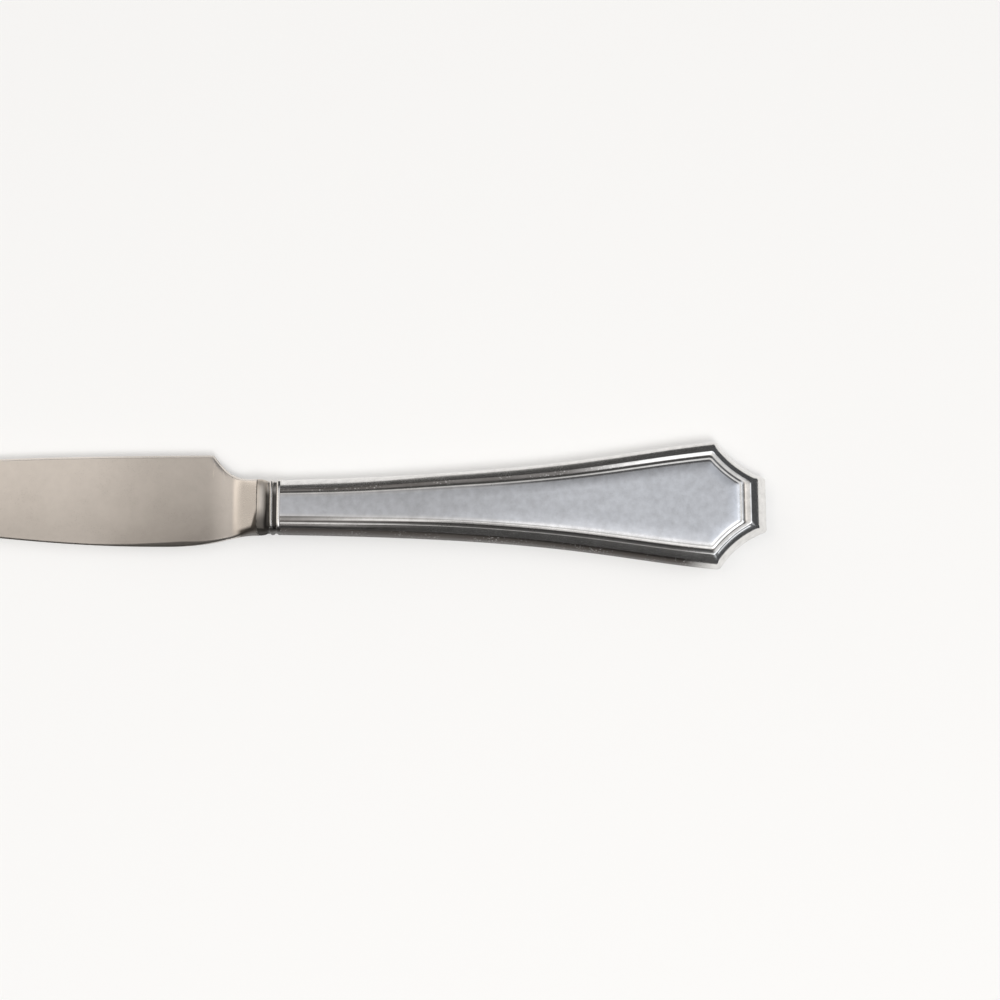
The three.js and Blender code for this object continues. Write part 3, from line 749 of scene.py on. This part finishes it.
def half_outline(insets, offset):
    """One side of the handle's outline, drawn in: flank, hollow arc, and half of the butt's flat."""
    inset, notch_inset, butt_inset, *mouth_insets = insets
    radius = notch_radius + notch_inset + offset
    flat_x = butt_x - butt_inset - offset
    xs = np.linspace(mouth_x, shoulder_x, shoulder_steps)
    ys = flank_half_width(xs, inset, *mouth_insets, offset)
    clear = np.hypot(xs - notch_centre.x, ys - notch_centre.y) - radius
    shoulder = np.interp(0.0, -clear, xs)
    shoulder_corner = (shoulder, flank_half_width(shoulder, inset, *mouth_insets, offset))
    start = math.atan2(shoulder_corner[1] - notch_centre.y, shoulder - notch_centre.x)
    end = -math.acos((flat_x - notch_centre.x) / radius)
    butt_corner = (flat_x, notch_centre.y + radius * math.sin(end))
    flank = np.linspace(mouth_x, shoulder - corner_round, flank_points)
    flank = np.stack([flank, flank_half_width(flank, inset, *mouth_insets, offset)], 1)
    turn = np.linspace(start + corner_round / radius, end - corner_round / radius, notch_points)
    arc = np.stack([notch_centre.x + radius * np.cos(turn), notch_centre.y + radius * np.sin(turn)], 1)
    flat = np.linspace(butt_corner[1] - corner_round, 0, flat_points)
    flat = np.stack([np.full(flat_points, flat_x), flat], 1)
    side = [flank, eased_corner(flank[-1], shoulder_corner, arc[0]), arc]
    side += [eased_corner(arc[-1], butt_corner, flat[0]), flat]
    return np.concatenate(side)


def outline(insets, offset=0.0):
    """The outline from the mouth's +Y side round the butt to its -Y side."""
    *shared, upper_extra, lower_extra = insets
    upper = half_outline((*shared, upper_extra), offset)
    lower = half_outline((*shared, lower_extra), offset)
    return np.concatenate([upper, lower[-2::-1] * (1, -1)])


class Level(NamedTuple):
    """One line of the mouldings, which runs round the handle as its outline does."""

    part: str
    insets: np.ndarray
    height: float
    mouth_turn: float
    notch_turn: float
    lift: float = 1.0
    painted_shade: float = 0.0
    polish: float = 1.0


moulding = []
for t in np.linspace(0, 1, side_levels):
    shares = [(1 - t) ** 3, 3 * t * (1 - t) ** 2, 3 * t * t * (1 - t), t**3]
    insets = shares[1] * side_feet + shares[2] * side_bends + shares[3] * side_runs
    height = max(rim_height, np.dot(shares, side_heights))
    moulding.append(Level(
        "rim" if t < rim_end else "side", insets, height, np.dot(shares, mouth_side_turns),
        np.dot(shares, notch_side_turns), lift=np.dot(shares, side_lifts)))
# The bead's inner slope and the ridge's foot carry painted shade in the crease between them.
for along in np.linspace(0, 1, bead_levels)[1:]:
    height = side_top + bead_crown
    if along < bead_crown_share:
        height -= bead_crown * (1 - along / bead_crown_share) ** 2
    else:
        inwards = (along - bead_crown_share) / (1 - bead_crown_share)
        height -= bead_fall * (inwards + inwards**2) / 2
    turn = lerp(mouth_side_turns[-1], bead_turn, along)
    moulding.append(Level("bead", side_runs + bead_widths * along, height, turn, turn,
                          painted_shade=smoothstep(crease_start, 1, along)))
foot_reach = side_runs + bead_widths
foot_height = moulding[-1].height
for along in np.linspace(0, 1, foot_levels)[1:]:
    turn = lerp(bead_turn, ridge_turn, along)
    moulding.append(Level("ridge", foot_reach + foot_widths * along, foot_height + foot_rise * along,
                          turn, turn, painted_shade=1 - smoothstep(0, crease_end, along)))
ridge_reach = foot_reach + foot_widths
ridge_height = foot_height + foot_rise
for along in np.linspace(0, 1, ridge_levels)[1:]:
    moulding.append(Level("ridge", ridge_reach + ridge_widths * along,
                          ridge_height - ridge_fall * along**2, ridge_turn, ridge_turn))
bevel_reach = ridge_reach + ridge_widths
bevel_height = ridge_height - ridge_fall
bevel_rise = seam_z - bevel_height
for along in np.linspace(0, 1, bevel_levels)[1:] ** bevel_spacing:
    up_foot = 1 - (1 - min(1, along / bevel_foot_share)) ** bevel_foot_curve
    rise = bevel_foot_rise * up_foot + (bevel_rise - bevel_foot_rise) * (1 - (1 - along) ** 2)
    still_low = 1 - rise / bevel_rise
    turn = ridge_turn * still_low
    polish = bevel_polish * (1 - smoothstep(*bevel_polish_fade, along))
    moulding.append(Level("panel", bevel_reach + bevel_runs * along, bevel_height + rise, turn, turn,
                          lift=still_low, polish=polish))

moulding_profile = np.array([(level.insets[0], level.height) for level in moulding])
moulding_steps = np.hypot(*np.diff(moulding_profile, axis=0).T)
moulding_lean = math.pi / 2 * np.concatenate([[0], np.cumsum(moulding_steps) / moulding_steps.sum()])
corner_ease = np.linspace(0, 1, corner_points + 2)[1:-1]
half_notch_share = np.concatenate([np.zeros(flank_points), corner_ease, np.ones(notch_points),
                                   corner_ease[::-1], np.zeros(flat_points)])
notch_share = np.concatenate([half_notch_share, half_notch_share[-2::-1]])
line_points = len(notch_share)
panel_columns = 2 * flat_points - 2
panel_rungs = (line_points - panel_columns - 1) // 2


def shell_lines(side):
    """Lines of points on the moulded sheet, on the same sheet a wall further in, and across the panel."""
    outer = []
    for level in moulding:
        line = outline(level.insets)
        x = line[:, 0]
        height = level.height + mouth_lift * level.lift * (1 - smoothstep(*mouth_lift_fade, x))
        height = height + level.mouth_turn * mouth_share(x) + level.notch_turn * notch_share
        outer.append(np.column_stack([line, seam_z + side * height]))
    inner = []
    for level, lean in list(zip(moulding, moulding_lean))[::levels_per_inner]:
        line = outline(level.insets, shell_wall * math.cos(lean))
        depth = level.height - shell_wall * math.sin(lean)
        inner.append(np.column_stack([line, np.full(line_points, seam_z + side * depth)]))
    across = np.linspace(0, 1, panel_columns + 1)[1:-1, None]
    panel = [lerp(outer[-1][i], outer[-1][-1 - i], across) for i in range(panel_rungs)]
    return outer, inner, panel


def shell_faces(outer_count, inner_count):
    """Faces over both sheets and the panel, and those that close the shell at its rim and its mouth."""
    inner_row = outer_count
    top = outer_count - 1
    inner_top = outer_count + inner_count - 1
    last = line_points - 1

    def at(row, i):
        return row * line_points + i

    def on_panel(rung, column):
        if column == 0:
            return at(top, rung)
        if column == panel_columns:
            return at(top, last - rung)
        if rung == panel_rungs:
            return at(top, panel_rungs + column)
        return at(inner_top + 1, rung * (panel_columns - 1) + column - 1)

    faces = []
    for row in [*range(top), *range(inner_row, inner_top)]:
        for i in range(last):
            faces.append((at(row, i), at(row, i + 1), at(row + 1, i + 1), at(row + 1, i)))
    for i in range(last):
        faces.append((at(0, i), at(0, i + 1), at(inner_row, i + 1), at(inner_row, i)))
    for rung in range(panel_rungs):
        for column in range(panel_columns):
            faces.append((on_panel(rung, column), on_panel(rung, column + 1),
                          on_panel(rung + 1, column + 1), on_panel(rung + 1, column)))
        faces.append((at(inner_top, rung), at(inner_top, rung + 1),
                      at(inner_top, last - 1 - rung), at(inner_top, last - rung)))
    faces.append(tuple(at(inner_top, i) for i in range(panel_rungs, line_points - panel_rungs)))
    mouth = [at(row, 0) for row in range(inner_row)]
    mouth += [on_panel(0, column) for column in range(1, panel_columns)]
    mouth += [at(row, last) for row in range(top, -1, -1)]
    mouth += [at(row, last) for row in range(inner_row, inner_top + 1)]
    mouth += [at(row, 0) for row in range(inner_top, inner_row - 1, -1)]
    faces.append(tuple(mouth))
    return faces


def mouth_end_shading(x):
    """Painted shade, darker at the mouth end of the handle and easing to none past its middle."""
    return mouth_end_shade * (1 - smoothstep(*mouth_end_shade_fade, x))


def note_polish_and_shade(shell, outer, inner, panel):
    """Notes the shell's polish, and painted shade in the creases, on both flanks and at the mouth end."""
    x = outer[0][:, 0]
    end_shade = mouth_end_shading(x)
    edge_flank = np.zeros(line_points)
    edge_flank[-flank_points:] = np.minimum(1, np.arange(flank_points) / shade_ease_points)
    spine_flank = edge_flank[::-1] * (1 - smoothstep(*spine_shade_fade, x))
    near_mouth = 1 - smoothstep(*mouth_shade_fade, x)
    side_edge_shade = lerp(side_shade, side_mouth_shade, near_mouth)
    bead_edge_shade = lerp(bead_shade, bead_mouth_shade, near_mouth)
    ridge_edge_shade = ridge_mouth_shade * (1 - smoothstep(*ridge_shade_fade, x))
    # Painted shade by part: dark reflections along both flanks, and the darker mouth end.
    flank_shade = {
        "rim": rim_shade * edge_flank,
        "side": np.maximum.reduce([end_shade, side_edge_shade * edge_flank, side_spine_shade * spine_flank]),
        "bead": np.maximum(bead_edge_shade * edge_flank, bead_spine_shade * spine_flank),
        "ridge": np.maximum.reduce([end_shade, ridge_edge_shade * edge_flank, ridge_spine_shade * spine_flank]),
        "panel": end_shade,
    }
    spine_half = np.arange(line_points) < line_points // 2
    crease = np.maximum(smoothstep(*mouth_lift_fade, x), edge_flank)
    crease = lerp(crease_spine_share, 1, crease) * (1 - crease_notch_loss * notch_share * spine_half)
    spread_out = lerp(1, crease_mouth_spread, near_mouth * edge_flank)
    painted_shade = [np.maximum(level.painted_shade**spread_out * crease, flank_shade[level.part]) for level in moulding]
    polish = [np.full(line_points, level.polish) for level in moulding]
    hidden = np.zeros(len(inner) * line_points)
    panel_end_shade = mouth_end_shading(np.concatenate(panel)[:, 0])
    note_surface(shell, "painted_shade", np.concatenate([*painted_shade, hidden, panel_end_shade]))
    note_surface(shell, "polish", np.concatenate([*polish, hidden, np.zeros(len(panel_end_shade))]))


def make_shell(name, side):
    """One stamped shell, above the seam where side is 1 and under it where side is -1."""
    outer, inner, panel = shell_lines(side)
    faces = shell_faces(len(outer), len(inner))
    shell = make_piece(name, np.concatenate([*outer, *inner, *panel]), faces)
    note_polish_and_shade(shell, outer, inner, panel)
    return shell


# The blue tint of the handle's satin colour is painted reflection of cool light.
handle_steel = worn_and_shaded_steel(
    "handle_steel", satin=(0.684, 0.705, 0.747), polished=(0.91, 0.9, 0.885), grime_and_shade=(0.085, 0.076, 0.07),
    satin_roughness=0.27, polished_roughness=0.12, lines_per_metre=6000, mottle=0.22, flecks=1.0)
front_shell = make_shell("front_shell_stamping", 1)
front_shell.data.materials.append(handle_steel)
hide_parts("front_shell")
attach(front_shell, "root")
back_shell = make_shell("back_shell_stamping", -1)
back_shell.data.materials.append(handle_steel)
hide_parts("back_shell")
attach(back_shell, "root")

# Seam: a thin strip of braze between the rims of the two shells, wiped back a little from the outside.
# It shows as a fine warm line round the edge of the handle.
braze_recess = 0.00005
rim_insets = np.zeros(len(side_runs))
braze_outer = outline(rim_insets, braze_recess)
braze_hollow = outline(rim_insets, 2 * braze_recess)
braze_inner = outline(rim_insets, shell_wall)
braze_section = [(braze_outer, 1), (braze_inner, 1), (braze_inner, -1), (braze_outer, -1)]
braze_section.append((braze_hollow, 0))
braze_points = []
for i in range(line_points):
    for line, height in braze_section:
        braze_points.append((*line[i], seam_z + rim_height * height))
seam = make_piece("seam_strip", braze_points, ring_faces(line_points, len(braze_section)))
seam.data.materials.append(dull_metal(
    "braze", bright=(0.62, 0.5, 0.3), dark=(0.25, 0.18, 0.1), least_roughness=0.3, most_roughness=0.55))
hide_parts("seam_braze")
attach(seam, "root")

# Cement core: a grey setting cement poured in round the tang before the collar was pushed home.
# It lies wholly inside the shells, so its solid from the frame stays and takes a gritty finish.
cement_pale = (0.42, 0.4, 0.36, 1)
cement_dark = (0.3, 0.28, 0.25, 1)
cement_grit_colour = (0.16, 0.15, 0.14, 1)
cement_material, cement_tree, cement_shader = new_material("cement")
cement_marks = place_effect(cement_tree, handling_marks, {"Marks per Metre": 400})
cement_grit = place_effect(
    cement_tree, pits, {"Pits per Metre": 1800, "Size": 0.4, "Patches per Metre": 500})
cement_colour = blend_colours(cement_tree, cement_marks, cement_pale, cement_dark)
cement_colour = blend_colours(cement_tree, cement_grit, cement_colour, cement_grit_colour)
cement_tree.links.new(cement_colour, cement_shader.inputs["Base Color"])
cement_rough = spread(cement_tree, cement_marks, 0, 1, 0.85, 1.0)
cement_tree.links.new(cement_rough, cement_shader.inputs["Roughness"])
cement_bump = place_node(cement_tree, "Bump", {"Strength": 0.6, "Distance": 0.0001, "Height": cement_grit},
                         invert=True)
cement_tree.links.new(cement_bump.outputs[0], cement_shader.inputs["Normal"])
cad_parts["cement_filler"].material_slots[0].material = cement_material

# Floor: a plain pale sheet that the knife lies on, wide enough to fill every view.
# It takes the knife's shadow. Its faint glow is seen by the camera and in the steel's reflections,
# and lights nothing else.
floor_half_side = 8.0
floor_glow = 0.315
floor_corners = [(-1, -1), (1, -1), (1, 1), (-1, 1)]
floor = make_piece("floor", [(floor_half_side * x, floor_half_side * y, 0.0) for x, y in floor_corners],
                   [(0, 1, 2, 3)])
floor_material, floor_tree, floor_shader = new_material("pale_floor")
floor_shader.inputs["Base Color"].default_value = (0.6, 0.595, 0.585, 1)
floor_shader.inputs["Roughness"].default_value = 0.9
floor_shader.inputs["Specular IOR Level"].default_value = 0.0
floor_shader.inputs["Emission Color"].default_value = (1.0, 0.995, 0.985, 1)
rays = place_node(floor_tree, "LightPath", {}).outputs
seen = calculate(floor_tree, "MAXIMUM", rays["Is Camera Ray"], rays["Is Glossy Ray"])
seen = calculate(floor_tree, "MAXIMUM", seen, rays["Is Transmission Ray"])
seen_glow = calculate(floor_tree, "MULTIPLY", seen, floor_glow)
floor_tree.links.new(seen_glow, floor_shader.inputs["Emission Strength"])
floor.data.materials.append(floor_material)

# Light: a soft studio, mid grey overhead and brighter towards the cutting edge's side, with a pale warm
# wall beyond the tip. The low horizon is dark, which gives the polished mouldings their dark lines.
# One broad soft lamp on the cutting edge's side lays the knife's shadow on the floor.
world = bpy.data.worlds.new("studio")
world.use_nodes = True
scene.world = world
sky = world.node_tree
direction = place_node(sky, "SeparateXYZ", {0: place_node(sky, "TexCoord", {}).outputs["Generated"]})
east, north, up = direction.outputs
# East is towards the butt and north is the spine's side. Spans are shares of a direction.
room_light = 0.08
horizon_span = (0.74, 0.86)
horizon_east_drop = 0.2
ceiling_span = (0.16, 0.66)
ceiling_light = 0.76
ceiling_north_light = 0.06
window_span = (0.06, -0.3)
window_light = 0.75
window_east_span = (-0.25, 0.25)
window_east_shares = (0.35, 1.15)
east_window_span = (0.22, 0.5)
east_window_light = 0.6
east_window_end = (0.3, 0.55)
wall_span = (-0.27, -0.47)
wall_light = 1.2
wall_far_span = (-0.55, -0.9)
wall_far_share = 0.55
wall_north_span = (-0.35, -0.05)
tint_span = (-0.5, 0.5)
west_tint = (1.0, 0.95, 0.89, 1)
east_tint = (0.97, 1.0, 1.05, 1)
eastward = calculate(sky, "MAXIMUM", east, 0.0)
height_seen = calculate(sky, "MULTIPLY_ADD", eastward, horizon_east_drop, up)
above_horizon = spread(sky, height_seen, *horizon_span, 0.0, 1.0, "SMOOTHSTEP")
ceiling = spread(sky, north, *ceiling_span, ceiling_light, ceiling_north_light, "SMOOTHSTEP")
window = spread(sky, north, *window_span, 0.0, window_light, "SMOOTHSTEP")
window_share = spread(sky, east, *window_east_span, *window_east_shares)
window = calculate(sky, "MULTIPLY", window, window_share)
east_window = spread(sky, east, *east_window_span, 0.0, east_window_light, "SMOOTHSTEP")
east_window_share = spread(sky, north, *east_window_end, 1.0, 0.0)
east_window = calculate(sky, "MULTIPLY", east_window, east_window_share)
overhead = calculate(sky, "ADD", calculate(sky, "ADD", ceiling, window), east_window)
overhead = calculate(sky, "MULTIPLY", overhead, above_horizon)
wall = spread(sky, east, *wall_span, 0.0, wall_light, "SMOOTHSTEP")
wall = calculate(sky, "MULTIPLY", wall, spread(sky, east, *wall_far_span, 1.0, wall_far_share))
wall = calculate(sky, "MULTIPLY", wall, spread(sky, north, *wall_north_span, 0.0, 1.0, "SMOOTHSTEP"))
brightness = calculate(sky, "ADD", calculate(sky, "ADD", overhead, wall), room_light)
tint = blend_colours(sky, spread(sky, east, *tint_span, 0.0, 1.0), west_tint, east_tint)
background = sky.nodes["Background"]
sky.links.new(tint, background.inputs["Color"])
sky.links.new(brightness, background.inputs["Strength"])
lamp_elevation = math.radians(67)
lamp_towards_butt = 0.15
lamp_distance = 1.2
lamp_data = bpy.data.lights.new("soft lamp", "AREA")
lamp_data.shape = "DISK"
lamp_data.size = 0.35
lamp_data.energy = 5.8
lamp = bpy.data.objects.new("soft lamp", lamp_data)
lamp_away = Vector((lamp_towards_butt, -math.cos(lamp_elevation), math.sin(lamp_elevation))).normalized()
lamp.matrix_world = (Matrix.Translation(lamp_away * lamp_distance)
                     @ lamp_away.to_track_quat("Z", "Y").to_matrix().to_4x4())
lamp.visible_glossy = False
scene.collection.objects.link(lamp)

# Camera: it looks down on the knife from the cutting edge's side.
# The tip half of the blade runs out of the picture.
camera_elevation = math.radians(79)
camera_distance = 0.45476
camera_field = math.radians(26.6)
camera_roll = math.radians(-0.25)
camera_target = Vector((0.0574, 0.0014, seam_z))
camera_back = Vector((0, -math.cos(camera_elevation), math.sin(camera_elevation)))
camera_up = camera_back.cross(Vector((1, 0, 0)))
camera_data = bpy.data.cameras.new("camera")
camera_data.sensor_width = 36.0
camera_data.lens = camera_data.sensor_width / (2 * math.tan(camera_field / 2))
camera_data.clip_start = 0.01
camera_data.clip_end = 40.0
camera = bpy.data.objects.new("camera", camera_data)
camera_turn = Matrix([(1, 0, 0), camera_up, camera_back]).transposed().to_4x4()
camera.matrix_world = (Matrix.Translation(camera_target + camera_back * camera_distance) @ camera_turn
                       @ Matrix.Rotation(camera_roll, 4, "Z"))
scene.collection.objects.link(camera)
scene.camera = camera
scene.view_settings.view_transform = "Standard"
